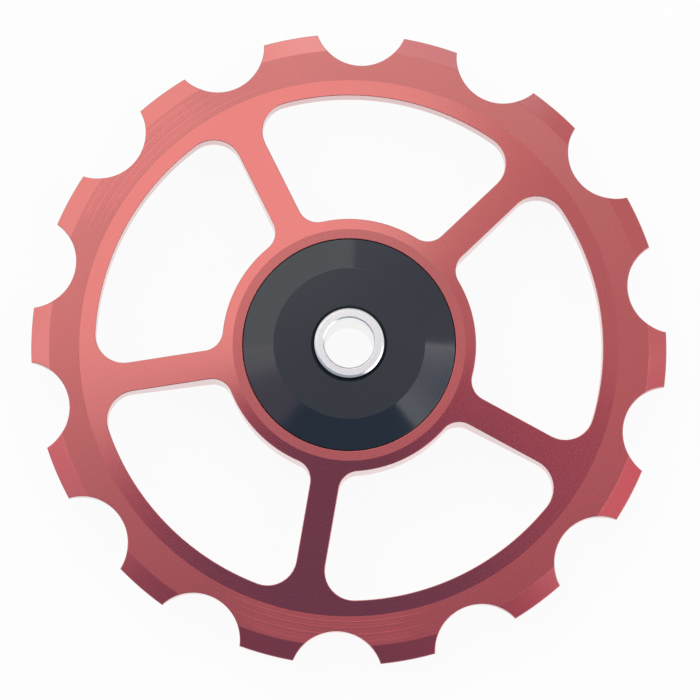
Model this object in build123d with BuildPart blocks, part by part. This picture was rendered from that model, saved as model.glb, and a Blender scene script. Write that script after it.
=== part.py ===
from build123d import *
import os
from math import pi, sin

# Derailleur jockey wheel: a toothed alloy wheel on a sealed ball bearing, with an axle bush and two dust caps.
# Millimetres. The origin is the wheel's centre, Z is its axis, and one tooth and one spoke lie on +X.

# Chain that the teeth run in
CHAIN_PITCH = 12.7
ROLLER_DIAMETER = 7.75
SEAT_CLEARANCE = 0.135
TOOTH_COUNT = 14

# Rim and teeth
TIP_DROP = 1.14
TOOTH_BEVEL = 1.55
TIP_WIDTH = 1.0
RIM_WIDTH = 2.1
RIM_UNDER_SEAT = 1.3
RIM_LIP = 1.35

# Spokes and the windows between them
SPOKE_COUNT = 5
SPOKE_WIDTH = 2.5
OUTER_CORNER = 2.5
INNER_CORNER = 1.75

# Hub
HUB_PROUD = 0.15
HUB_FACE_WIDTH = 0.84
HUB_SHOULDER = 0.9
RECESS_DEPTH = 0.8

# Sealed ball bearing
BEARING_BORE = 6.0
BEARING_OUTER = 15.0
BEARING_WIDTH = 5.0
RING_CORNER = 0.2
BALL_DIAMETER = 2.381
BALL_COUNT = 8
RACE_CLEARANCE = 0.02
RACE_GAP = 1.6

# Seals of the bearing
SEAL_THICKNESS = 0.3
SEAL_INSET = 0.1
SEAL_SEAT = 0.35
SEAL_LAND = 0.25
SEAL_CLEARANCE = 0.06

# Snap-in ball cage
POCKET_CLEARANCE = 0.07
CAGE_CLEARANCE = 0.2
CLAW_HEIGHT = 0.6
CLAW_ROOT = 0.3
CLAW_SLOT = 0.6

# Axle bush
BUSH_BORE = 4.3
BUSH_PROUD = 0.5
BUSH_OUTER_CHAMFER = 0.18
BUSH_INNER_CHAMFER = 0.1

# Dust caps
CAP_OVERLAP = 1.6
CAP_SIDE_GAP = 0.06
CAP_FACE_GAP = 0.25
CAP_THICKNESS = 1.1
CAP_BEVEL_RUN = 2.6
CAP_BEVEL_DROP = 0.9
CAP_HOLE_CHAMFER = 0.3
SKIRT_CLEARANCE = 0.3
BOSS_INSET = 0.1

# Gap left on the radius where one turned piece is pushed into another
PUSH_FIT = 0.01

# Radii of the bearing, from the bore outwards
bush_radius = BEARING_BORE / 2 - PUSH_FIT
ball_radius = BALL_DIAMETER / 2
ball_circle_radius = (BEARING_BORE + BEARING_OUTER) / 4
race_radius = ball_radius + RACE_CLEARANCE
inner_land_radius = ball_circle_radius - RACE_GAP / 2
outer_land_radius = ball_circle_radius + RACE_GAP / 2
seal_land_radius = inner_land_radius - SEAL_LAND
seal_seat_radius = outer_land_radius + SEAL_SEAT

# Radii of the caps and the hub
cap_radius = BEARING_OUTER / 2 + CAP_OVERLAP
recess_radius = cap_radius + CAP_SIDE_GAP
hub_face_radius = recess_radius + HUB_FACE_WIDTH
hub_radius = hub_face_radius + HUB_SHOULDER

# Radii of the rim, from the pitch circle inwards
pitch_radius = CHAIN_PITCH / (2 * sin(pi / TOOTH_COUNT))
seat_radius = ROLLER_DIAMETER / 2 + SEAT_CLEARANCE
tip_radius = pitch_radius - TIP_DROP
bevel_radius = tip_radius - TOOTH_BEVEL
web_foot_radius = pitch_radius - seat_radius - RIM_UNDER_SEAT
window_radius = web_foot_radius - RIM_LIP

# Heights above the middle plane
bearing_face = BEARING_WIDTH / 2
seal_floor = bearing_face - SEAL_INSET - SEAL_THICKNESS
hub_face = bearing_face + HUB_PROUD
recess_floor = hub_face - RECESS_DEPTH
cap_top = bearing_face + CAP_THICKNESS
cap_edge = cap_top - CAP_BEVEL_DROP
bush_end = cap_top + BUSH_PROUD

# Toothed wheel: a turned blank, then the windows and the roller seats milled through it
with BuildPart() as toothed_wheel:
    with BuildSketch(Plane.XZ):
        with BuildLine():
            Polyline(
                (BEARING_OUTER / 2 + PUSH_FIT, 0),
                (BEARING_OUTER / 2 + PUSH_FIT, recess_floor),
                (recess_radius, recess_floor),
                (recess_radius, hub_face),
                (hub_face_radius, hub_face),
                (web_foot_radius, RIM_WIDTH / 2),
                (bevel_radius, RIM_WIDTH / 2),
                (tip_radius, TIP_WIDTH / 2),
                (tip_radius, 0),
            )
            mirror(about=Plane.XZ)
        make_face()
    revolve(axis=Axis.Z)
    with BuildSketch() as windows:
        Circle(window_radius)
        Circle(hub_radius, mode=Mode.SUBTRACT)
        with PolarLocations(0, SPOKE_COUNT):
            Rectangle(
                tip_radius, SPOKE_WIDTH, align=(Align.MIN, Align.CENTER), mode=Mode.SUBTRACT
            )
        fillet(windows.vertices().group_by(SortBy.DISTANCE)[0], radius=INNER_CORNER)
        fillet(windows.vertices().group_by(SortBy.DISTANCE)[-1], radius=OUTER_CORNER)
    extrude(amount=hub_face, both=True, mode=Mode.SUBTRACT)
    with BuildSketch():
        with PolarLocations(pitch_radius, TOOTH_COUNT, start_angle=180 / TOOTH_COUNT):
            Circle(seat_radius)
    extrude(amount=RIM_WIDTH, both=True, mode=Mode.SUBTRACT)

# Inner ring: grooved for the balls, stepped at both ends under the seal lips
with BuildPart() as bearing_inner_ring:
    with BuildSketch(Plane.XZ) as inner_section:
        with Locations((BEARING_BORE / 2, 0)):
            Rectangle(
                inner_land_radius - BEARING_BORE / 2, BEARING_WIDTH, align=(Align.MIN, Align.CENTER)
            )
        chamfer(inner_section.vertices().group_by(Axis.X)[0], length=RING_CORNER)
        with Locations((inner_land_radius, bearing_face), (inner_land_radius, -bearing_face)):
            Rectangle(
                2 * SEAL_LAND, 2 * (bearing_face - seal_floor + SEAL_CLEARANCE), mode=Mode.SUBTRACT
            )
        with Locations((ball_circle_radius, 0)):
            Circle(race_radius, mode=Mode.SUBTRACT)
    revolve(axis=Axis.Z)

# Outer ring: grooved for the balls, stepped at both ends to seat the seals
with BuildPart() as bearing_outer_ring:
    with BuildSketch(Plane.XZ) as outer_section:
        with Locations((BEARING_OUTER / 2, 0)):
            Rectangle(
                BEARING_OUTER / 2 - outer_land_radius, BEARING_WIDTH, align=(Align.MAX, Align.CENTER)
            )
        chamfer(outer_section.vertices().group_by(Axis.X)[-1], length=RING_CORNER)
        with Locations((outer_land_radius, bearing_face), (outer_land_radius, -bearing_face)):
            Rectangle(2 * SEAL_SEAT, 2 * (bearing_face - seal_floor), mode=Mode.SUBTRACT)
        with Locations((ball_circle_radius, 0)):
            Circle(race_radius, mode=Mode.SUBTRACT)
    revolve(axis=Axis.Z)

# Seals: flat rings pressed into the outer ring's steps, with a lip close to the inner ring
with BuildPart() as front_seal:
    with BuildSketch(Plane.XY.offset(seal_floor)):
        Circle(seal_seat_radius - PUSH_FIT)
        Circle(seal_land_radius + SEAL_CLEARANCE, mode=Mode.SUBTRACT)
    extrude(amount=SEAL_THICKNESS)
with BuildPart() as rear_seal:
    mirror(front_seal.part, about=Plane.XY)

# Cage: a ring behind the balls with a pocket for each, open in front between two claws
pocket_radius = ball_radius + POCKET_CLEARANCE
cage_back = seal_floor - CAGE_CLEARANCE
with BuildPart() as ball_cage:
    with BuildSketch(Plane.XY.offset(-cage_back)):
        Circle(outer_land_radius - CAGE_CLEARANCE)
        Circle(inner_land_radius + CAGE_CLEARANCE, mode=Mode.SUBTRACT)
    extrude(amount=cage_back + CLAW_HEIGHT)
    with PolarLocations(ball_circle_radius, BALL_COUNT):
        Sphere(pocket_radius, mode=Mode.SUBTRACT)
    with BuildSketch(Plane.XY.offset(-CLAW_ROOT)):
        with PolarLocations(ball_circle_radius, BALL_COUNT, start_angle=180 / BALL_COUNT):
            Rectangle(RACE_GAP, CLAW_SLOT)
    extrude(amount=CLAW_ROOT + CLAW_HEIGHT, mode=Mode.SUBTRACT)

# Axle bush: a plain tube through the bearing and both caps
with BuildPart() as axle_bush:
    with BuildSketch(Plane.XY.offset(-bush_end)):
        Circle(bush_radius)
        Circle(BUSH_BORE / 2, mode=Mode.SUBTRACT)
    extrude(amount=2 * bush_end)
    rims = axle_bush.edges().filter_by(GeomType.CIRCLE).group_by(SortBy.RADIUS)
    chamfer(rims[0], length=BUSH_INNER_CHAMFER)
    chamfer(rims[-1], length=BUSH_OUTER_CHAMFER)

# Caps: bevelled discs pushed on the bush, with a boss on the inner ring and a skirt down in the hub's recess
skirt_radius = BEARING_OUTER / 2 + SKIRT_CLEARANCE
skirt_foot = recess_floor + CAP_FACE_GAP
cap_underside = bearing_face + CAP_FACE_GAP
boss_radius = seal_land_radius - BOSS_INSET
with BuildPart() as front_cap:
    with BuildSketch(Plane.XZ):
        with BuildLine():
            Polyline(
                (BEARING_BORE / 2, bearing_face),
                (BEARING_BORE / 2, cap_top - CAP_HOLE_CHAMFER),
                (BEARING_BORE / 2 + CAP_HOLE_CHAMFER, cap_top),
                (cap_radius - CAP_BEVEL_RUN, cap_top),
                (cap_radius, cap_edge),
                (cap_radius, skirt_foot),
                (skirt_radius, skirt_foot),
                (skirt_radius, cap_underside),
                (boss_radius, cap_underside),
                (boss_radius, bearing_face),
                close=True,
            )
        make_face()
    revolve(axis=Axis.Z)
with BuildPart() as rear_cap:
    mirror(front_cap.part, about=Plane.XY)

pieces = {
    "toothed_wheel": toothed_wheel,
    "bearing_outer_ring": bearing_outer_ring,
    "bearing_inner_ring": bearing_inner_ring,
    "ball_cage": ball_cage,
    "front_seal": front_seal,
    "rear_seal": rear_seal,
    "axle_bush": axle_bush,
    "front_cap": front_cap,
    "rear_cap": rear_cap,
}

# Balls: one in each pocket of the cage
for number, place in enumerate(PolarLocations(ball_circle_radius, BALL_COUNT), start=1):
    with BuildPart() as bearing_ball:
        with Locations(place):
            Sphere(ball_radius)
    pieces[f"bearing_ball_{number}"] = bearing_ball

os.makedirs("parts", exist_ok=True)
for name, piece in pieces.items():
    piece.part.label = name
    export_step(piece.part, f"parts/{name}.step")
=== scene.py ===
"""Looks of a derailleur jockey wheel: a red toothed wheel, two black caps, a polished bush and a bearing.

Sizes are in millimetres in the wheel's own frame: the origin is its centre, Z is its axis, and one tooth
and one spoke lie on +X. Meshes are put into Blender in metres.
"""

import logging
import math
from dataclasses import dataclass
from enum import Enum
from typing import Any, Mapping

import bpy
import numpy as np
from mathutils import Matrix, Vector


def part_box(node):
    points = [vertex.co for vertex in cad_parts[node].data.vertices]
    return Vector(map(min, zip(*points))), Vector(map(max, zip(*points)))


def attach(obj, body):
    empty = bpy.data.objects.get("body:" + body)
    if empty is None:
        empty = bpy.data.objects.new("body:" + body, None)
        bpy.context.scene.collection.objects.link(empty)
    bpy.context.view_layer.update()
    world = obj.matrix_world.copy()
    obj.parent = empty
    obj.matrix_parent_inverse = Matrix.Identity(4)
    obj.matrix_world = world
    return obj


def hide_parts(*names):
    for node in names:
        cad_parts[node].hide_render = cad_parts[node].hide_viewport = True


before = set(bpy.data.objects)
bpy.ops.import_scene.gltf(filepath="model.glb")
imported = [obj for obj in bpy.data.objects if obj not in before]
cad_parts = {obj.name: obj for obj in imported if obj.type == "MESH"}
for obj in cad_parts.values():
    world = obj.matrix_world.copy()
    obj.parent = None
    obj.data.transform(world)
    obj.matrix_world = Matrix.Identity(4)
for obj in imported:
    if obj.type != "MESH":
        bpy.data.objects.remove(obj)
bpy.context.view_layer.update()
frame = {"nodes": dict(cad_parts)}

Array = np.ndarray
Socket = bpy.types.NodeSocket
Tree = bpy.types.NodeTree

MM = 0.001
SEW_DIGITS = 5
PHOTO_PIXELS = 700

# Sockets of a Mix node that mixes colours
MIX_A = 6
MIX_B = 7
MIX_RESULT = 2

# A noise pattern runs from 0 to 1, and most of it lies between these levels
NOISE_LEVELS = (0.3, 0.7)
ONE_OCTAVE = 0.0

# Turns the long axis of a stretched highlight from along the turning rings to across them
QUARTER_TURN = 0.25

log = logging.getLogger("jockey_wheel")


class Body(str, Enum):
    """The moving groups of the wheel that new pieces ride on."""

    AXLE = "axle"
    WHEEL = "wheel"


class Side(Enum):
    """The two faces of the wheel, as the sign of their height."""

    FRONT = 1
    REAR = -1


@dataclass(frozen=True)
class Sheet:
    """A grid of surface points with the outward normal at each.

    Both arrays have the shape (copies, rows, columns, 3). Points are in millimetres.
    """

    points: Array
    normals: Array


def linear(hex_colour: str) -> tuple[float, float, float, float]:
    """Turns an sRGB colour, "#rrggbb", into linear light with full alpha, by the sRGB standard's curve."""
    srgb = np.array([int(hex_colour[place : place + 2], 16) for place in (1, 3, 5)]) / 255
    light = np.where(srgb <= 0.04045, srgb / 12.92, ((srgb + 0.055) / 1.055) ** 2.4)
    return (*light.tolist(), 1.0)


def add_node(
    tree: Tree, kind: str, inputs: Mapping[str | int, Any] | None = None, **settings: str
) -> bpy.types.Node:
    """Adds one node with its settings and links.

    Args:
        tree: the node tree that gets the node.
        kind: the node's type name.
        inputs: values by input socket, by name or number. A value that is a socket is linked.
        settings: the node's own settings by name.

    Returns:
        The new node.
    """
    node = tree.nodes.new(kind)
    for name, value in settings.items():
        setattr(node, name, value)
    for key, value in (inputs or {}).items():
        if isinstance(value, Socket):
            tree.links.new(value, node.inputs[key])
        else:
            node.inputs[key].default_value = value
    return node


def ramp(value: Socket, start: float, stop: float, low: float = 0.0, high: float = 1.0) -> dict[str, Any]:
    """Gives a Map Range node's inputs to go from low to high while the value goes from start to stop."""
    return {"Value": value, "From Min": start, "From Max": stop, "To Min": low, "To Max": high}


def new_material(name: str) -> tuple[bpy.types.Material, Tree]:
    """Makes a material by the real one's plain name, and gives it with its empty node tree."""
    material = bpy.data.materials.new(name)
    material.use_nodes = True
    material.node_tree.nodes.clear()
    return material, material.node_tree


def add_object(name: str, data: bpy.types.ID) -> bpy.types.Object:
    """Makes an object of a mesh, lamp or camera and links it to the scene."""
    made = bpy.data.objects.new(name, data)
    bpy.context.scene.collection.objects.link(made)
    return made


def rounded_path(corners: list[tuple[float, float]], radii: float | Array, steps: int = 4) -> Array:
    """Rounds the inner corners of an open path of (radius, height) points.

    At a corner, the runs on both sides are cut back by the corner's radius times the tangent of half the
    turn, and an arc of that radius joins them. The normal is the run's direction turned right by a quarter
    turn, and along an arc it turns evenly, so the surface that the path sweeps out has no crease.

    Args:
        corners: the path's points.
        radii: the rounding at each inner corner, or one for all.
        steps: the spans of each arc.

    Returns:
        One row for each point: radius, height, and the normal's part along each.
    """
    path = np.array(corners, float)
    runs = np.diff(path, axis=0)
    runs = runs / np.linalg.norm(runs, axis=1, keepdims=True)
    right = np.stack([runs[:, 1], -runs[:, 0]], axis=1)
    before, after = runs[:-1], runs[1:]
    across = before[:, 0] * after[:, 1] - before[:, 1] * after[:, 0]
    turn = np.arctan2(across, (before * after).sum(axis=1))
    cut = radii * np.tan(np.abs(turn) / 2)
    bulge = (np.sign(turn) * radii)[:, None]
    centres = path[1:-1] - before * cut[:, None] - bulge * right[:-1]
    angle = turn[:, None] * np.linspace(0, 1, steps + 1)
    cos, sin = np.cos(angle), np.sin(angle)
    out, up = right[:-1, :1], right[:-1, 1:]
    normals = np.stack([out * cos - up * sin, out * sin + up * cos], axis=2)
    points = centres[:, None] + bulge[:, None] * normals
    arcs = np.concatenate([points, normals], axis=2).reshape(-1, 4)
    first = np.concatenate([path[0], right[0]])
    last = np.concatenate([path[-1], right[-1]])
    return np.vstack([first, arcs, last])


def arc(centre: Array, radius: float, angles: Array) -> Array:
    """Places points in a plane at one radius round a centre, one row for each angle."""
    return centre + radius * np.stack([np.cos(angles), np.sin(angles)], axis=1)


def polar(radius: Array, angle: Array, height: Array) -> Array:
    """Turns radius, angle and height, broadcast together, into x, y and z on a last axis."""
    return np.stack(np.broadcast_arrays(radius * np.cos(angle), radius * np.sin(angle), height), axis=-1)


def turned(path: Array, angles: Array) -> Sheet:
    """Turns a path of (radius, height, normal, normal) rows round the axis.

    The point at a path row and an angle is (radius times cosine, radius times sine, height), and its
    normal turns with it.

    Args:
        path: the rows that rounded_path gives.
        angles: the angles of the columns, with the first repeated at the end of a full turn.

    Returns:
        One sheet with a row for each path row.
    """
    radius, height, out, up = (column[:, None] for column in path.T)
    return Sheet(polar(radius, angles, height)[None], polar(out, angles, up)[None])


def grid_quads(grid: Array) -> Array:
    """Gives the four point numbers round each cell of a grid of them, with rows and columns as last axes."""
    low, high = grid[..., :-1, :], grid[..., 1:, :]
    cells = np.stack([low[..., :-1], low[..., 1:], high[..., 1:], high[..., :-1]], axis=-1)
    return cells.reshape(-1, 4)


def sew(name: str, sheets: list[Sheet]) -> bpy.types.Object:
    """Sews sheets into one closed mesh object at the origin.

    Each grid cell is a quad. It is turned over where its own normal disagrees with the sheet's, and points
    of different sheets that fall together become one vertex. The sheets' normals are kept at the quads'
    corners, so rounded edges shade round and flats shade flat.

    Args:
        name: the piece's name.
        sheets: the sheets, which meet edge to edge.

    Returns:
        The new object, linked to the scene.
    """
    points = np.concatenate([sheet.points.reshape(-1, 3) for sheet in sheets])
    normals = np.concatenate([sheet.normals.reshape(-1, 3) for sheet in sheets])
    shapes = [sheet.points.shape[:3] for sheet in sheets]
    starts = np.cumsum([0] + [math.prod(shape) for shape in shapes])
    grids = [start + np.arange(math.prod(shape)).reshape(shape) for start, shape in zip(starts, shapes)]
    quads = np.concatenate([grid_quads(grid) for grid in grids])
    corners = points[quads]
    facing = np.cross(corners[:, 2] - corners[:, 0], corners[:, 3] - corners[:, 1])
    over = (facing * normals[quads].sum(axis=1)).sum(axis=1) < 0
    quads = np.where(over[:, None], quads[:, ::-1], quads)
    # Adding zero turns a negative zero into a plain one, so that both fall together
    keys = np.round(points, SEW_DIGITS) + 0.0
    _, kept, place = np.unique(keys, axis=0, return_index=True, return_inverse=True)
    mesh = bpy.data.meshes.new(name)
    mesh.from_pydata((points[kept] * MM).tolist(), [], place.reshape(-1)[quads].tolist())
    mesh.shade_smooth()
    mesh.normals_split_custom_set(normals[quads].reshape(-1, 3).tolist())
    return add_object(name, mesh)


def seat(piece: bpy.types.Object, material: bpy.types.Material, body: Body, node: str) -> None:
    """Dresses a new piece and puts it in the place of a CAD node.

    Args:
        piece: the new piece.
        material: its finish.
        body: the moving group that it rides on.
        node: the CAD node that it stands for.
    """
    piece.data.materials.append(material)
    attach(piece, body.value)
    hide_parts(node)
    log.info("%s: %d faces, stands for %s", piece.name, len(piece.data.polygons), node)


def leaning(lean: float, heading: float) -> Vector:
    """Gives the unit direction that leans from straight up towards a heading, both in radians."""
    out = math.sin(lean)
    return Vector((out * math.cos(heading), out * math.sin(heading), math.cos(lean)))


def placed(point: Vector, right: Vector, up: Vector, back: Vector) -> Matrix:
    """Gives the matrix of a lamp or camera at a point in millimetres, with its axes in three directions."""
    return Matrix.Translation(point * MM) @ Matrix((right, up, back)).transposed().to_4x4()


@dataclass(frozen=True)
class AnodisedAluminium:
    """Turned and anodised aluminium: dyed oxide over metal.

    The metal under the dyed oxide gives coloured reflections, and the clear oxide over it a weak white one.
    The tool leaves rings round the axis, so the gloss is drawn out across them. On the band between two
    radii the rings stand out in patches, and the colour on their crests is lightened into painted
    highlights.
    Between the patches the calm share of them is left, and off the band the fine share.
    """

    name: str
    colour: str
    shade: str
    metallic: float
    roughness: float
    roughness_spread: float
    anisotropy: float
    ring_height: float
    # How strongly the colour is lightened on the rings' crests: a painted highlight
    ring_highlight: float
    fine_share: float
    calm_share: float
    band: tuple[float, float]
    band_edge: float = 0.12
    bevel_roughness: float = 0.0
    coat: float = 0.0
    coat_roughness: float = 0.1
    coat_index: float = 1.5
    # A turning tool's rings are about 0.05 mm apart, which is less than a pixel of the render, so they are
    # drawn coarser, as far apart as they need to be to show
    ring_spacing: float = 0.12
    ring_levels: tuple[float, float] = (0.42, 0.66)
    cloud_size: float = 9.0
    cloud_detail: float = 2.0
    patch_size: float = 24.0
    patch_levels: tuple[float, float] = (0.47, 0.6)
    patch_shift: tuple[float, float, float] = (125.0, 175.0, 0.0)

    def axis_distance(self, tree: Tree, place: Socket) -> Socket:
        """Measures how far a place in Object coordinates is from the wheel's axis, in millimetres."""
        flat = add_node(tree, "ShaderNodeVectorMath", {0: place, 1: (1, 1, 0)}, operation="MULTIPLY")
        metres = add_node(tree, "ShaderNodeVectorMath", {0: flat.outputs[0]}, operation="LENGTH")
        inputs = {0: metres.outputs["Value"], 1: MM}
        return add_node(tree, "ShaderNodeMath", inputs, operation="DIVIDE").outputs[0]

    def ring_share(self, tree: Tree, place: Socket, radius: Socket) -> Socket:
        """Works out the share of the rings that shows: the band's times that of the patches on it."""
        inner, outer = self.band
        edges = []
        for edge, inside in ((inner, inner + self.band_edge), (outer, outer - self.band_edge)):
            inputs = ramp(radius, edge, inside, low=self.fine_share)
            edges.append(add_node(tree, "ShaderNodeMapRange", inputs).outputs[0])
        on_band = add_node(tree, "ShaderNodeMath", dict(enumerate(edges)), operation="MINIMUM").outputs[0]
        shift = Vector(self.patch_shift) * MM
        shifted = add_node(tree, "ShaderNodeVectorMath", {0: place, 1: shift}, operation="ADD").outputs[0]
        pattern = {"Vector": shifted, "Scale": 1 / (self.patch_size * MM), "Detail": ONE_OCTAVE}
        patches = add_node(tree, "ShaderNodeTexNoise", pattern).outputs[0]
        inputs = ramp(patches, *self.patch_levels, low=self.calm_share)
        in_patch = add_node(tree, "ShaderNodeMapRange", inputs).outputs[0]
        share = add_node(tree, "ShaderNodeMath", {0: on_band, 1: in_patch}, operation="MULTIPLY")
        return share.outputs[0]

    def dye_and_painted_highlights(self, tree: Tree, place: Socket, height: Socket) -> Socket:
        """Mixes two tones of the dyed oxide by a slow cloud, and paints highlights on the rings' crests by
        lightening the colour.
        """
        pattern = {"Vector": place, "Scale": 1 / (self.cloud_size * MM), "Detail": self.cloud_detail}
        clouds = add_node(tree, "ShaderNodeTexNoise", pattern).outputs[0]
        tones = {"Factor": clouds, MIX_A: linear(self.colour), MIX_B: linear(self.shade)}
        tone = add_node(tree, "ShaderNodeMix", tones, data_type="RGBA").outputs[MIX_RESULT]
        # Painted highlight: the colour is lightened where the rings are high, as if their crests caught the
        # light
        inputs = ramp(height, *self.ring_levels, high=self.ring_highlight)
        painted_highlight = add_node(tree, "ShaderNodeMapRange", inputs).outputs[0]
        inputs = {"Factor": painted_highlight, MIX_A: tone, MIX_B: tone}
        highlighted = add_node(tree, "ShaderNodeMix", inputs, data_type="RGBA", blend_type="SCREEN")
        return highlighted.outputs[MIX_RESULT]

    def gloss(self, tree: Tree, rings: Socket, radius: Socket) -> Socket:
        """Works out the roughness: it wavers with the rings, and the bevel outside the band is rougher."""
        middle, spread = self.roughness, self.roughness_spread
        inputs = ramp(rings, *NOISE_LEVELS, middle - spread, middle + spread)
        waver = add_node(tree, "ShaderNodeMapRange", inputs).outputs[0]
        outer = self.band[1]
        inputs = ramp(radius, outer - self.band_edge, outer, high=self.bevel_roughness)
        bevel = add_node(tree, "ShaderNodeMapRange", inputs).outputs[0]
        return add_node(tree, "ShaderNodeMath", {0: waver, 1: bevel}, operation="ADD").outputs[0]

    def make(self) -> bpy.types.Material:
        """Builds the material, with rings that are a noise of the distance to the axis."""
        material, tree = new_material(self.name)
        place = add_node(tree, "ShaderNodeTexCoord").outputs["Object"]
        radius = self.axis_distance(tree, place)
        count = add_node(tree, "ShaderNodeMath", {0: radius, 1: self.ring_spacing}, operation="DIVIDE")
        pattern = {"W": count.outputs[0], "Scale": 1.0, "Detail": ONE_OCTAVE}
        rings = add_node(tree, "ShaderNodeTexNoise", pattern, noise_dimensions="1D").outputs[0]
        share = self.ring_share(tree, place, radius)
        height = add_node(tree, "ShaderNodeMath", {0: rings, 1: share}, operation="MULTIPLY").outputs[0]
        relief = {"Strength": 1.0, "Distance": self.ring_height * MM, "Height": height}
        along = add_node(tree, "ShaderNodeTangent", direction_type="RADIAL", axis="Z")
        surface = add_node(
            tree,
            "ShaderNodeBsdfPrincipled",
            {
                "Base Color": self.dye_and_painted_highlights(tree, place, height),
                "Metallic": self.metallic,
                "Roughness": self.gloss(tree, rings, radius),
                "Anisotropic": self.anisotropy,
                "Anisotropic Rotation": QUARTER_TURN,
                "Tangent": along.outputs[0],
                "Coat Weight": self.coat,
                "Coat Roughness": self.coat_roughness,
                "Coat IOR": self.coat_index,
                "Normal": add_node(tree, "ShaderNodeBump", relief).outputs[0],
            },
        )
        add_node(tree, "ShaderNodeOutputMaterial", {"Surface": surface.outputs[0]})
        return material


@dataclass(frozen=True)
class PlainFinish:
    """A finish of one colour with a fine grain: ground or polished steel, ceramic, nylon or rubber.

    The grain breaks up the gloss and the height by a little. Marks of grinding, polishing and moulding
    are hundredths of a millimetre wide, too fine for the render, so the grain is drawn as coarse as it
    needs to show.
    """

    name: str
    colour: str
    shade: str
    metallic: float
    roughness: float
    roughness_spread: float
    grain_size: float
    grain_height: float
    grain_detail: float = 3.0

    def make(self) -> bpy.types.Material:
        """Builds the material from one noise of the grain's size."""
        material, tree = new_material(self.name)
        place = add_node(tree, "ShaderNodeTexCoord").outputs["Object"]
        pattern = {"Vector": place, "Scale": 1 / (self.grain_size * MM), "Detail": self.grain_detail}
        grain = add_node(tree, "ShaderNodeTexNoise", pattern).outputs[0]
        tones = {"Factor": grain, MIX_A: linear(self.colour), MIX_B: linear(self.shade)}
        tone = add_node(tree, "ShaderNodeMix", tones, data_type="RGBA").outputs[MIX_RESULT]
        middle, spread = self.roughness, self.roughness_spread
        waver = ramp(grain, *NOISE_LEVELS, middle - spread, middle + spread)
        relief = {"Strength": 1.0, "Distance": self.grain_height * MM, "Height": grain}
        surface = add_node(
            tree,
            "ShaderNodeBsdfPrincipled",
            {
                "Base Color": tone,
                "Metallic": self.metallic,
                "Roughness": add_node(tree, "ShaderNodeMapRange", waver).outputs[0],
                "Normal": add_node(tree, "ShaderNodeBump", relief).outputs[0],
            },
        )
        add_node(tree, "ShaderNodeOutputMaterial", {"Surface": surface.outputs[0]})
        return material


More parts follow.
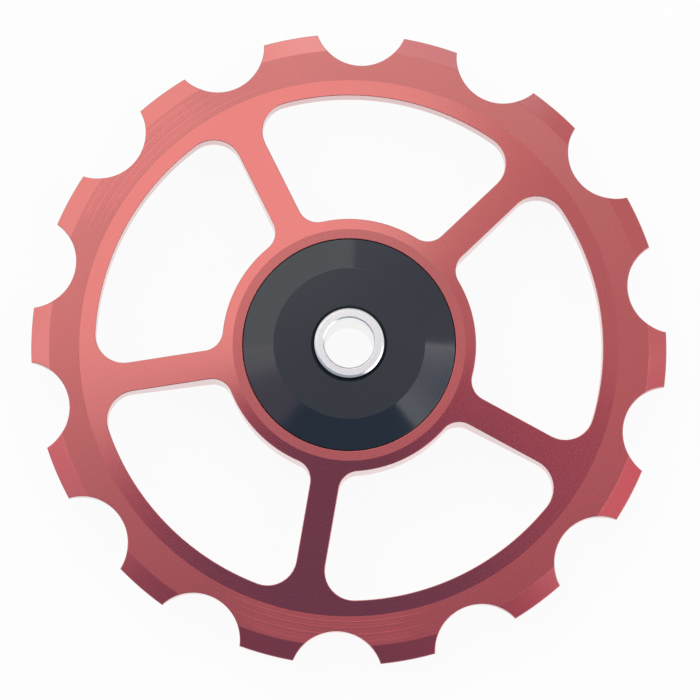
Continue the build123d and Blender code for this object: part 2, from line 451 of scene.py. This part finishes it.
@dataclass
class ToothedWheel:
    """The red wheel: a turned disc with a coned web, milled into five spokes and fourteen seats."""

    tip_radius: float
    hub_face: float
    teeth: int = 14
    chain_pitch: float = 12.7
    seat_radius: float = 4.01
    tooth_bevel: float = 1.55
    tip_width: float = 1.0
    rim_width: float = 2.1
    rim_under_seat: float = 1.3
    rim_lip: float = 1.35
    spokes: int = 5
    spoke_width: float = 2.5
    outer_corner: float = 2.5
    inner_corner: float = 1.75
    bearing_seat: float = 7.51
    recess_radius: float = 9.16
    recess_depth: float = 0.8
    hub_face_radius: float = 10.0
    hub_shoulder: float = 0.9
    edge_break: float = 0.06
    crease_round: float = 0.05
    bevel_round: float = 0.22
    foot_round: float = 0.12
    spoke_columns: int = 18
    sector_columns: int = 56
    corner_rows: int = 10
    straight_rows: int = 12
    seat_rows: int = 12
    bevel_rows: int = 6

    def __post_init__(self) -> None:
        """Works out the radii of the rim and the half section that both faces follow."""
        self.pitch_radius = self.chain_pitch / (2 * math.sin(math.pi / self.teeth))
        self.seat_bottom = self.pitch_radius - self.seat_radius
        self.bevel_radius = self.tip_radius - self.tooth_bevel
        self.foot_radius = self.seat_bottom - self.rim_under_seat
        self.window_radius = self.foot_radius - self.rim_lip
        self.hub_radius = self.hub_face_radius + self.hub_shoulder
        corners = [
            (self.tip_radius, self.tip_width / 2),
            (self.bevel_radius, self.rim_width / 2),
            (self.foot_radius, self.rim_width / 2),
            (self.hub_face_radius, self.hub_face),
        ]
        self.section = rounded_path(corners, np.array([self.bevel_round, self.foot_round]))[::-1]

    def face(self, radius: Array, angle: Array, side: Side) -> Sheet:
        """Lays points on one face of the wheel.

        Height and normal are those of the half section at each point's radius, turned to its angle.

        Args:
            radius: the points' radii.
            angle: the points' angles, which broadcast with the radii to (copies, rows, columns).
            side: the face.

        Returns:
            The sheet of points.
        """
        height, out, up = (np.interp(radius, self.section[:, 0], self.section[:, k]) for k in (1, 2, 3))
        return Sheet(polar(radius, angle, side.value * height), polar(out, angle, side.value * up))

    def wall(self, face_at: tuple[Array, Array], wall_at: tuple[Array, Array], facing: Array) -> Sheet:
        """Joins the edges of both faces by a milled wall with broken edges.

        The four rows are the front face's edge, the wall's top, the wall's foot and the rear face's edge.
        The wall starts one edge break below the face.

        Args:
            face_at: radius and angle along the faces' edges, (copies, columns).
            wall_at: radius and angle along the wall.
            facing: the angle that the wall faces.

        Returns:
            The sheet of four rows.
        """
        front = self.face(*face_at, Side.FRONT)
        rear = self.face(*face_at, Side.REAR)
        height = np.interp(wall_at[0], self.section[:, 0], self.section[:, 1]) - self.edge_break
        top, foot = polar(*wall_at, height), polar(*wall_at, -height)
        out = polar(np.ones_like(facing), facing, np.zeros_like(facing))
        out = np.broadcast_to(out, top.shape)
        points = np.stack([front.points, top, foot, rear.points], axis=1)
        normals = np.stack([front.normals, out, out, rear.normals], axis=1)
        return Sheet(points, normals)

    def limbs(
        self,
        turn: Array,
        across: Array,
        face_edge: tuple[Array, Array],
        wall_edge: tuple[Array, Array, Array],
    ) -> list[Sheet]:
        """Builds a ring of like limbs, spokes or teeth: their faces, and the walls on either hand.

        A face point lies at a share of the limb's half angle at its row.

        Args:
            turn: the angle of each limb's middle line, (copies, 1).
            across: the columns' shares of the half angle, from -1 to 1.
            face_edge: radius and half angle along a limb's edge on the faces.
            wall_edge: radius, half angle and facing angle along its wall.

        Returns:
            The sheets, with one copy for each limb.
        """
        face_radius, face_half = face_edge
        wall_radius, wall_half, facing = wall_edge
        spread = turn[:, :, None] + face_half[:, None] * across
        sheets = [self.face(face_radius[None, :, None], spread, side) for side in Side]
        for hand in (1, -1):
            face_at = (face_radius, turn + hand * face_half)
            wall_at = (wall_radius, turn + hand * wall_half)
            sheets.append(self.wall(face_at, wall_at, turn + hand * facing))
        return sheets

    def spoke_edge(self, inset: float) -> tuple[Array, Array, Array]:
        """Follows one edge of the spoke on +X from the hub to the rim.

        The edge is an arc out of the hub's circle, a straight run beside the spoke's middle line and an arc
        into the rim's circle. Each arc's centre lies in the window, so an inset outline keeps the centres
        and adds to the radii.

        Args:
            inset: how far the outline is drawn back into the metal.

        Returns:
            Radius, angle and facing angle along the edge.
        """
        half = self.spoke_width / 2
        near_y, far_y = half + self.inner_corner, half + self.outer_corner
        near = np.array([math.sqrt((self.hub_radius + self.inner_corner) ** 2 - near_y**2), near_y])
        far = np.array([math.sqrt((self.window_radius - self.outer_corner) ** 2 - far_y**2), far_y])
        share = np.linspace(0, 1, self.corner_rows + 1)
        hub_way = math.atan2(-near[1], -near[0])
        rim_way = math.atan2(far[1], far[0])
        down = -math.pi / 2
        near_way = hub_way + (down - hub_way) * share
        far_way = down + (rim_way - down) * share
        near_arc = arc(near, self.inner_corner + inset, near_way)
        far_arc = arc(far, self.outer_corner + inset, far_way)
        run = np.linspace(near_arc[-1], far_arc[0], self.straight_rows + 1)[1:-1]
        x, y = np.concatenate([near_arc, run, far_arc]).T
        facing = np.concatenate([near_way + math.pi, np.full(len(run), -down), far_way + math.pi])
        return np.hypot(x, y), np.arctan2(y, x), facing

    def ring_angles(self, half_angle: float | Array) -> Array:
        """Spaces the columns of a full ring so that each spoke covers the same columns at any radius.

        Within a sector the angle runs evenly across the spoke, and evenly across the window.

        Args:
            half_angle: the angle from a spoke's middle line to its edge.

        Returns:
            The angles of the columns, with the first repeated at the end.
        """
        half_angle = np.asarray(half_angle, float)[..., None]
        sector = 2 * math.pi / self.spokes
        turn, column = np.divmod(np.arange(self.spokes * self.sector_columns + 1), self.sector_columns)
        in_spoke = np.minimum(column, self.spoke_columns) / (self.spoke_columns / 2) - 1
        window_columns = self.sector_columns - self.spoke_columns
        in_window = np.maximum(column - self.spoke_columns, 0) / window_columns
        return turn * sector + in_spoke * half_angle + in_window * (sector - 2 * half_angle)

    def hub(self, half_angle: float) -> Sheet:
        """Turns the hub: shoulder, flat face, cap recess and bearing seat, the same on both sides.

        The front half's section is mirrored to the rear, and the whole is turned once round the axis.

        Args:
            half_angle: the spokes' half angle at the hub's edge.

        Returns:
            One sheet from the front face through the bore to the rear face.
        """
        edge = self.hub_radius - self.edge_break
        floor = self.hub_face - self.recess_depth
        corners = [
            (edge, np.interp(edge, self.section[:, 0], self.section[:, 1])),
            (self.hub_face_radius, self.hub_face),
            (self.recess_radius, self.hub_face),
            (self.recess_radius, floor),
            (self.bearing_seat, floor),
            (self.bearing_seat, 0),
        ]
        half = rounded_path(corners, self.crease_round)
        path = np.vstack([half, half[-2::-1] * (1, -1, 1, -1)])
        return turned(path, self.ring_angles(half_angle))

    def rim(self, half_angle: float, side: Side) -> Sheet:
        """Lays one face of the rim between the windows and the roller seats.

        The columns start at the spokes' feet and have spread evenly by the seats, where the teeth take
        them on.

        Args:
            half_angle: the spokes' half angle at the rim.
            side: the face.

        Returns:
            The sheet of the ring.
        """
        first, last = self.window_radius + self.edge_break, self.seat_bottom - self.edge_break
        stations = self.section[:, 0]
        radius = np.concatenate([[first], stations[(stations > first) & (stations < last)], [last]])
        even = math.pi / self.spokes * self.spoke_columns / self.sector_columns
        share = (radius - first) / (last - first)
        angle = self.ring_angles(half_angle + (even - half_angle) * share)
        return self.face(radius[None, :, None], angle[None], side)

    def seat_points(self, swing: Array, inset: float) -> tuple[Array, Array]:
        """Places points on the roller seat beside a tooth.

        The swing is the angle at the seat's centre, from the seat's bottom towards the tooth's tip.

        Args:
            swing: the swing of each point.
            inset: how far the outline is drawn back into the metal.

        Returns:
            Radius, and angle from the tooth's middle line.
        """
        reach = self.seat_radius + inset
        along, across = self.pitch_radius - reach * np.cos(swing), reach * np.sin(swing)
        return np.hypot(along, across), math.pi / self.teeth - np.arctan2(across, along)

    def seat_swing(self, radius: float | Array, inset: float) -> Array:
        """Gives the swing at which a roller seat reaches a radius, by the rule of cosines.

        Args:
            radius: the distance to the wheel's axis.
            inset: how far the outline is drawn back into the metal.

        Returns:
            The swing, as seat_points takes it.
        """
        reach = self.seat_radius + inset
        cosine = (self.pitch_radius**2 + reach**2 - np.square(radius)) / (2 * self.pitch_radius * reach)
        return np.arccos(cosine)

    def tooth_sheets(self) -> list[Sheet]:
        """Builds all teeth: both faces, the halves of the roller seats beside each tooth, and the tips.

        Rows follow the seat from its bottom to the tip, with rows of their own where the bevel starts.

        Returns:
            The sheets, with one copy for each tooth.
        """
        inset = self.edge_break
        top = self.tip_radius - inset
        stations = self.section[:, 0]
        crease = stations[(stations > self.seat_bottom) & (stations < top)]
        start, stop = self.seat_swing(crease[0], inset), self.seat_swing(crease[-1], inset)
        swing = np.concatenate(
            [
                np.linspace(0, start, self.seat_rows + 1)[:-1],
                self.seat_swing(crease, inset),
                np.linspace(stop, self.seat_swing(top, inset), self.bevel_rows + 1)[1:],
            ]
        )
        turn = (np.arange(self.teeth) * 2 * math.pi / self.teeth)[:, None]
        columns = self.spokes * self.sector_columns // self.teeth
        across = np.linspace(-1, 1, columns + 1)
        face_radius, face_half = self.seat_points(swing, inset)
        wall_swing = np.append(swing[:-1], self.seat_swing(self.tip_radius, 0))
        wall_radius, wall_half = self.seat_points(wall_swing, 0)
        facing = math.pi / self.teeth + wall_swing
        sheets = self.limbs(turn, across, (face_radius, face_half), (wall_radius, wall_half, facing))
        face_at = (np.full_like(across, face_radius[-1]), turn + face_half[-1] * across)
        wall_at = (np.full_like(across, wall_radius[-1]), turn + wall_half[-1] * across)
        sheets.append(self.wall(face_at, wall_at, wall_at[1]))
        return sheets

    def window_sheets(self, face_edge: tuple[Array, Array, Array]) -> list[Sheet]:
        """Builds all spokes and the walls of the windows between them.

        A spoke's rows are the points of its edge.

        Args:
            face_edge: the spoke's edge on the faces, from spoke_edge.

        Returns:
            The sheets, with one copy for each spoke.
        """
        turn = (np.arange(self.spokes) * 2 * math.pi / self.spokes)[:, None]
        across = np.linspace(-1, 1, self.spoke_columns + 1)
        face_radius, face_half, _ = face_edge
        wall_radius, wall_half, facing = self.spoke_edge(0)
        sheets = self.limbs(turn, across, (face_radius, face_half), (wall_radius, wall_half, facing))
        share = np.linspace(0, 1, self.sector_columns - self.spoke_columns + 1)
        sector = 2 * math.pi / self.spokes
        # The walls on the hub's circle face outwards, those on the rim's circle towards the axis
        for end, away in ((0, 0), (-1, math.pi)):
            face_angle = turn + face_half[end] + (sector - 2 * face_half[end]) * share
            wall_angle = turn + wall_half[end] + (sector - 2 * wall_half[end]) * share
            face_at = (np.full_like(share, face_radius[end]), face_angle)
            wall_at = (np.full_like(share, wall_radius[end]), wall_angle)
            sheets.append(self.wall(face_at, wall_at, wall_angle + away))
        return sheets

    def build(self) -> bpy.types.Object:
        """Sews hub, spokes, rim and teeth into one piece."""
        edge = self.spoke_edge(self.edge_break)
        _, half_angle, _ = edge
        sheets = [self.hub(half_angle[0])]
        sheets += self.window_sheets(edge)
        sheets += [self.rim(half_angle[-1], side) for side in Side]
        sheets += self.tooth_sheets()
        return sew("anodised_wheel", sheets)

    def dress(self, piece: bpy.types.Object) -> None:
        """Gives the wheel its red finish, with open turning rings and painted highlights on the flat rim
        band.
        """
        # Red-dyed oxide over bright turned metal: the eye sees broad red reflections that sweep round with
        # the
        # turning and a thin white sheen over them. The pale hairlines on the band's rings are painted
        # highlights:
        # the colour is lightened on the rings' crests.
        finish = AnodisedAluminium(
            name="red anodised aluminium, turned",
            colour="#c4403c",
            shade="#bb3936",
            metallic=1.0,
            roughness=0.266,
            roughness_spread=0.008,
            anisotropy=0.54,
            ring_height=0.005,
            # Painted highlight: how strongly the colour on the rings' crests is lightened
            ring_highlight=0.7,
            fine_share=0.008,
            calm_share=0.25,
            band=(self.foot_radius, self.bevel_radius),
            bevel_roughness=0.139,
            coat=1.0,
            coat_roughness=0.169,
            coat_index=2.08,
        )
        seat(piece, finish.make(), Body.WHEEL, "toothed_wheel")


@dataclass
class DustCap:
    """A black turned cap: a bevelled disc with a boss on the bearing and a skirt in the hub's recess."""

    side: Side
    radius: float
    top: float
    skirt_foot: float
    bore: float = 3.0
    hole_chamfer: float = 0.3
    bevel_run: float = 2.6
    bevel_drop: float = 0.9
    skirt_radius: float = 7.8
    underside: float = 2.75
    boss_radius: float = 4.1
    boss_foot: float = 2.5
    edge_round: float = 0.05
    columns: int = 180

    def build(self) -> bpy.types.Object:
        """Turns the cap's closed section once round the axis, from the boss's foot and back to it."""
        middle = ((self.bore + self.boss_radius) / 2, self.boss_foot)
        corners = [
            middle,
            (self.boss_radius, self.boss_foot),
            (self.boss_radius, self.underside),
            (self.skirt_radius, self.underside),
            (self.skirt_radius, self.skirt_foot),
            (self.radius, self.skirt_foot),
            (self.radius, self.top - self.bevel_drop),
            (self.radius - self.bevel_run, self.top),
            (self.bore + self.hole_chamfer, self.top),
            (self.bore, self.top - self.hole_chamfer),
            (self.bore, self.boss_foot),
            middle,
        ]
        path = rounded_path(corners, self.edge_round) * (1, self.side.value, 1, self.side.value)
        angles = np.linspace(0, 2 * math.pi, self.columns + 1)
        return sew(f"{self.side.name.lower()}_dust_cap", [turned(path, angles)])

    def dress(self, piece: bpy.types.Object) -> None:
        """Gives the cap its black finish, with fine turning rings all over."""
        # Black dye lets no light through to the metal: the eye sees a dark grey that only the oxide's own
        # weak reflections brighten, in clear sectors on the bevel
        finish = AnodisedAluminium(
            name="black anodised aluminium, turned",
            colour="#262e36",
            shade="#222a31",
            metallic=0.0,
            roughness=0.11,
            roughness_spread=0.015,
            anisotropy=0.3,
            ring_height=0.001,
            ring_highlight=0.0,
            fine_share=1.0,
            calm_share=1.0,
            band=(0.0, self.radius),
        )
        node = f"{self.side.name.lower()}_cap"
        seat(piece, finish.make(), Body.AXLE, node)


@dataclass
class AxleBush:
    """The polished tube through the middle, with chamfered ends that stand proud of both caps."""

    radius: float
    end: float
    bore_radius: float = 2.15
    outer_chamfer: float = 0.18
    inner_chamfer: float = 0.1
    edge_round: float = 0.04
    columns: int = 128

    def build(self) -> bpy.types.Object:
        """Turns the tube's closed section once round the axis, from the middle of the bore and back."""
        inner, outer = self.inner_chamfer, self.outer_chamfer
        corners = [
            (self.bore_radius, 0),
            (self.bore_radius, inner - self.end),
            (self.bore_radius + inner, -self.end),
            (self.radius - outer, -self.end),
            (self.radius, outer - self.end),
            (self.radius, self.end - outer),
            (self.radius - outer, self.end),
            (self.bore_radius + inner, self.end),
            (self.bore_radius, self.end - inner),
            (self.bore_radius, 0),
        ]
        path = rounded_path(corners, self.edge_round)
        angles = np.linspace(0, 2 * math.pi, self.columns + 1)
        return sew("polished_bush", [turned(path, angles)])

    def dress(self, piece: bpy.types.Object) -> None:
        """Gives the bush its bright polish."""
        # Polished steel: the eye sees the white studio in it, almost as bright and a little blurred
        finish = PlainFinish(
            name="polished chrome steel",
            colour="#f9faf8",
            shade="#f2f3f1",
            metallic=1.0,
            roughness=0.22,
            roughness_spread=0.03,
            grain_size=0.4,
            grain_height=0.0005,
        )
        seat(piece, finish.make(), Body.AXLE, "axle_bush")


@dataclass
class SealedBearing:
    """The ball bearing inside the hub. Its solids have their true shape, so they only get finishes."""

    balls: int = 8

    def dress(self, nodes: Mapping[str, bpy.types.Object]) -> None:
        """Puts a finish on every ring, ball and seal and on the cage, given the CAD nodes by name."""
        # Ground steel: the eye sees grey metal with soft reflections
        steel = PlainFinish(
            name="ground bearing steel",
            colour="#b9bcc0",
            shade="#aeb1b6",
            metallic=1.0,
            roughness=0.22,
            roughness_spread=0.05,
            grain_size=0.25,
            grain_height=0.0008,
        )
        # Polished ceramic: the eye sees dark glassy beads with small sharp lights
        ceramic = PlainFinish(
            name="polished silicon nitride",
            colour="#2b2c2e",
            shade="#242527",
            metallic=0.0,
            roughness=0.12,
            roughness_spread=0.02,
            grain_size=0.3,
            grain_height=0.0003,
        )
        # Moulded nylon: the eye sees satin ivory with no clear reflection
        nylon = PlainFinish(
            name="moulded nylon",
            colour="#e1dccd",
            shade="#dad4c3",
            metallic=0.0,
            roughness=0.45,
            roughness_spread=0.06,
            grain_size=0.35,
            grain_height=0.003,
        )
        # Moulded rubber: the eye sees dull black with a faint broad sheen
        rubber = PlainFinish(
            name="moulded nitrile rubber",
            colour="#1b1b1c",
            shade="#161617",
            metallic=0.0,
            roughness=0.6,
            roughness_spread=0.06,
            grain_size=0.2,
            grain_height=0.004,
        )
        balls = [f"bearing_ball_{number}" for number in range(1, self.balls + 1)]
        for finish, names in (
            (steel, ["bearing_outer_ring", "bearing_inner_ring"]),
            (ceramic, balls),
            (nylon, ["ball_cage"]),
            (rubber, ["front_seal", "rear_seal"]),
        ):
            material = finish.make()
            for name in names:
                for slot in nodes[name].material_slots:
                    slot.material = material
                log.info("%s: %s", name, finish.name)


@dataclass(frozen=True)
class Panel:
    """A soft lamp, placed and sized in degrees as the picture plane would show it from the wheel.

    The place is right and down from straight above, the size is across and from top to bottom, and the
    turn is how far the lower edge rises to the right. The light adds to the air behind it, where 1 is white.
    """

    name: str
    place: tuple[float, float]
    size: tuple[float, float]
    turn: float
    light: float
    colour: str


@dataclass(frozen=True)
class Glow:
    """A soft round patch of brighter air, placed as a panel is.

    The reach is from its outer edge to its full light, in degrees round its middle.
    """

    place: tuple[float, float]
    reach: tuple[float, float]
    light: float
    colour: str


@dataclass
class Studio:
    """A white sheet under the wheel, four soft panels above it, and air that is dim on the viewer's side.

    The widest panel is at the upper left, a bright narrow one at the right. On the far side the air is
    brighter, and one glow stands low at the right. Steps in the air are in degrees towards the picture's
    lower edge, and the low air starts at a lean from straight above.
    """

    floor_height: float
    picture_turn: float = 27.9
    floor_size: float = 4000.0
    floor_lines: int = 3
    floor_glow: float = 0.93
    floor_colour: str = "#f8f8f8"
    panel_distance: float = 1200.0
    panels: tuple[Panel, ...] = (
        Panel("key panel", (-25.1, -30.1), (57.6, 62.3), turn=22.5, light=0.94, colour="#f4ffed"),
        Panel("top panel", (9.2, -50.7), (37.6, 8.7), turn=-16.6, light=0.96, colour="#eefeff"),
        Panel("left panel", (-46.6, 6.7), (57.5, 25.1), turn=-6.9, light=0.78, colour="#ffd2d2"),
        Panel("side panel", (30.4, 7.9), (12.9, 32.8), turn=-23.4, light=2.05, colour="#fff8f9"),
    )
    near_air: str = "#6b7da4"
    far_air: str = "#d9c9d4"
    low_near_air: str = "#8d97a6"
    low_far_air: str = "#f3f3f3"
    air_step: tuple[float, float] = (-5.6, -2.4)
    low_air_step: tuple[float, float] = (-35.0, 40.0)
    low_air_lean: tuple[float, float] = (46.0, 62.0)
    glow: Glow = Glow(place=(67.1, 37.1), reach=(36.0, 16.6), light=1.85, colour="#fffbf9")

    def picture_direction(self, right: float, down: float) -> Vector:
        """Turns degrees right and down in the picture, from straight above, into a unit direction."""
        lean = math.radians(math.hypot(right, down))
        return leaning(lean, math.radians(self.picture_turn) - math.atan2(down, right))

    def hang(self, panel: Panel) -> None:
        """Hangs one soft panel that faces the wheel.

        The lamp's power is its brightness times pi times its area, so a mirror shows that brightness.
        """
        away = self.picture_direction(*panel.place)
        level = leaning(math.pi / 2, math.radians(self.picture_turn + panel.turn))
        side = (level - away * level.dot(away)).normalized()
        lamp = bpy.data.lights.new(panel.name, "AREA")
        lamp.shape = "RECTANGLE"
        across, tall = (2 * self.panel_distance * math.tan(math.radians(part / 2)) for part in panel.size)
        lamp.size, lamp.size_y = across * MM, tall * MM
        lamp.energy = panel.light * math.pi * lamp.size * lamp.size_y
        lamp.color = linear(panel.colour)[:3]
        holder = add_object(panel.name, lamp)
        holder.matrix_world = placed(away * self.panel_distance, side, away.cross(side), away)
        holder.visible_camera = False
        log.info("%s hung", panel.name)

    def air_layer(self, tree: Tree, way: Socket, far: str, near: str, step: tuple[float, float]) -> Socket:
        """Mixes the air of the far and the viewer's side, softly between two lines across the picture.

        Args:
            tree: the world's node tree.
            way: the direction looked in.
            far: the far side's colour.
            near: the viewer's side's colour.
            step: where the change starts and ends, in degrees down from straight above.

        Returns:
            The colour.
        """
        down = self.picture_direction(right=0, down=90)
        along = add_node(tree, "ShaderNodeVectorMath", {0: way, 1: down}, operation="DOT_PRODUCT")
        start, stop = (math.sin(math.radians(line)) for line in step)
        inputs = ramp(along.outputs["Value"], start, stop)
        nearness = add_node(tree, "ShaderNodeMapRange", inputs, interpolation_type="SMOOTHSTEP").outputs[0]
        tones = {"Factor": nearness, MIX_A: linear(far), MIX_B: linear(near)}
        return add_node(tree, "ShaderNodeMix", tones, data_type="RGBA").outputs[MIX_RESULT]

    def glow_light(self, tree: Tree, way: Socket) -> Socket:
        """Makes the glow's shader, whose light falls off with the angle from its middle."""
        middle = self.picture_direction(*self.glow.place)
        towards = add_node(tree, "ShaderNodeVectorMath", {0: way, 1: middle}, operation="DOT_PRODUCT")
        start, stop = (math.cos(math.radians(reach)) for reach in self.glow.reach)
        inputs = ramp(towards.outputs["Value"], start, stop, high=self.glow.light)
        strength = add_node(tree, "ShaderNodeMapRange", inputs, interpolation_type="SMOOTHSTEP").outputs[0]
        inputs = {"Color": linear(self.glow.colour), "Strength": strength}
        return add_node(tree, "ShaderNodeBackground", inputs).outputs[0]

    def air(self) -> None:
        """Sets the world: the air overhead, the low air below a lean, and the glow added to both."""
        world = bpy.data.worlds.new("studio air")
        world.use_nodes = True
        tree = world.node_tree
        tree.nodes.clear()
        way = add_node(tree, "ShaderNodeTexCoord").outputs["Generated"]
        above = self.air_layer(tree, way, self.far_air, self.near_air, self.air_step)
        below = self.air_layer(tree, way, self.low_far_air, self.low_near_air, self.low_air_step)
        height = add_node(tree, "ShaderNodeSeparateXYZ", {0: way})
        start, stop = (math.cos(math.radians(lean)) for lean in self.low_air_lean)
        inputs = ramp(height.outputs["Z"], start, stop)
        lowness = add_node(tree, "ShaderNodeMapRange", inputs, interpolation_type="SMOOTHSTEP").outputs[0]
        inputs = {"Factor": lowness, MIX_A: above, MIX_B: below}
        colour = add_node(tree, "ShaderNodeMix", inputs, data_type="RGBA").outputs[MIX_RESULT]
        sky = add_node(tree, "ShaderNodeBackground", {"Color": colour, "Strength": 1.0}).outputs[0]
        both = add_node(tree, "ShaderNodeAddShader", {0: sky, 1: self.glow_light(tree, way)}).outputs[0]
        add_node(tree, "ShaderNodeOutputWorld", {"Surface": both})
        bpy.context.scene.world = world

    def paper(self) -> bpy.types.Material:
        """Makes the white sheet's material: it glows for the camera and in gloss, and its rest is matt."""
        # Studio paper: the eye sees an even white ground, on which the matt part takes a faint soft shadow
        material, tree = new_material("white studio paper")
        ray = add_node(tree, "ShaderNodeLightPath").outputs
        inputs = {0: ray["Is Camera Ray"], 1: ray["Is Glossy Ray"]}
        seen = add_node(tree, "ShaderNodeMath", inputs, operation="MAXIMUM").outputs[0]
        inputs = {0: seen, 1: ray["Is Transmission Ray"]}
        seen = add_node(tree, "ShaderNodeMath", inputs, operation="MAXIMUM").outputs[0]
        share = add_node(tree, "ShaderNodeMath", {0: seen, 1: self.floor_glow}, operation="MULTIPLY")
        matt = add_node(tree, "ShaderNodeBsdfDiffuse", {"Color": linear(self.floor_colour)})
        glow = add_node(tree, "ShaderNodeEmission", {"Color": linear("#ffffff"), "Strength": 1.0})
        inputs = {0: share.outputs[0], 1: matt.outputs[0], 2: glow.outputs[0]}
        both = add_node(tree, "ShaderNodeMixShader", inputs)
        add_node(tree, "ShaderNodeOutputMaterial", {"Surface": both.outputs[0]})
        return material

    def floor(self) -> None:
        """Lays the white sheet, a flat square grid at the height of the bush's rear end."""
        reach = self.floor_size / 2
        lines = np.linspace(-reach, reach, self.floor_lines)
        x, y = np.meshgrid(lines, lines)
        points = np.stack([x, y, np.full_like(x, self.floor_height)], axis=-1).reshape(-1, 3)
        quads = grid_quads(np.arange(x.size).reshape(x.shape))
        mesh = bpy.data.meshes.new("paper_floor")
        mesh.from_pydata((points * MM).tolist(), [], quads.tolist())
        mesh.materials.append(self.paper())
        add_object("paper_floor", mesh)

    def build(self) -> None:
        """Lays the floor, sets the air and hangs the panels."""
        self.floor()
        self.air()
        for panel in self.panels:
            self.hang(panel)


@dataclass
class PhotoCamera:
    """A long lens almost straight above, leaning a little towards the picture's lower edge."""

    focal_pixels: float = 4500.0
    sensor_width: float = 36.0
    distance: float = 387.6
    lean: float = 6.25
    heading: float = -65.62
    roll: float = 3.55
    aim: tuple[float, float, float] = (0.21, -0.22, 1.0)

    def build(self) -> None:
        """Places the camera out from the aim point along its heading and lean, and rolls it."""
        back = leaning(math.radians(self.lean), math.radians(self.heading))
        level = Vector((0, 0, 1)).cross(back).normalized()
        rise = back.cross(level)
        roll = math.radians(self.roll)
        right = level * math.cos(roll) + rise * math.sin(roll)
        data = bpy.data.cameras.new("photo_camera")
        data.sensor_width = self.sensor_width
        data.lens = self.focal_pixels / PHOTO_PIXELS * self.sensor_width
        camera = add_object("photo_camera", data)
        place = Vector(self.aim) + back * self.distance
        camera.matrix_world = placed(place, right, back.cross(right), back)
        bpy.context.scene.camera = camera


def highest(node: str) -> Vector:
    """Gives a CAD node's highest corner in millimetres."""
    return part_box(node)[1] / MM


def main() -> None:
    """Builds and dresses every piece, then the studio and the camera."""
    logging.basicConfig(level=logging.INFO, format="%(name)s: %(message)s")
    bpy.context.scene.view_settings.view_transform = "Standard"
    wheel_top, cap_top, bush_top = highest("toothed_wheel"), highest("front_cap"), highest("axle_bush")
    skirt_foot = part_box("front_cap")[0].z / MM
    pieces: list[ToothedWheel | DustCap | AxleBush] = [
        ToothedWheel(tip_radius=wheel_top.x, hub_face=wheel_top.z),
        *(DustCap(side, radius=cap_top.x, top=cap_top.z, skirt_foot=skirt_foot) for side in Side),
        AxleBush(radius=bush_top.x, end=bush_top.z),
    ]
    for piece in pieces:
        piece.dress(piece.build())
    SealedBearing().dress(frame["nodes"])
    Studio(floor_height=-bush_top.z).build()
    PhotoCamera().build()


if __name__ == "__main__":
    main()
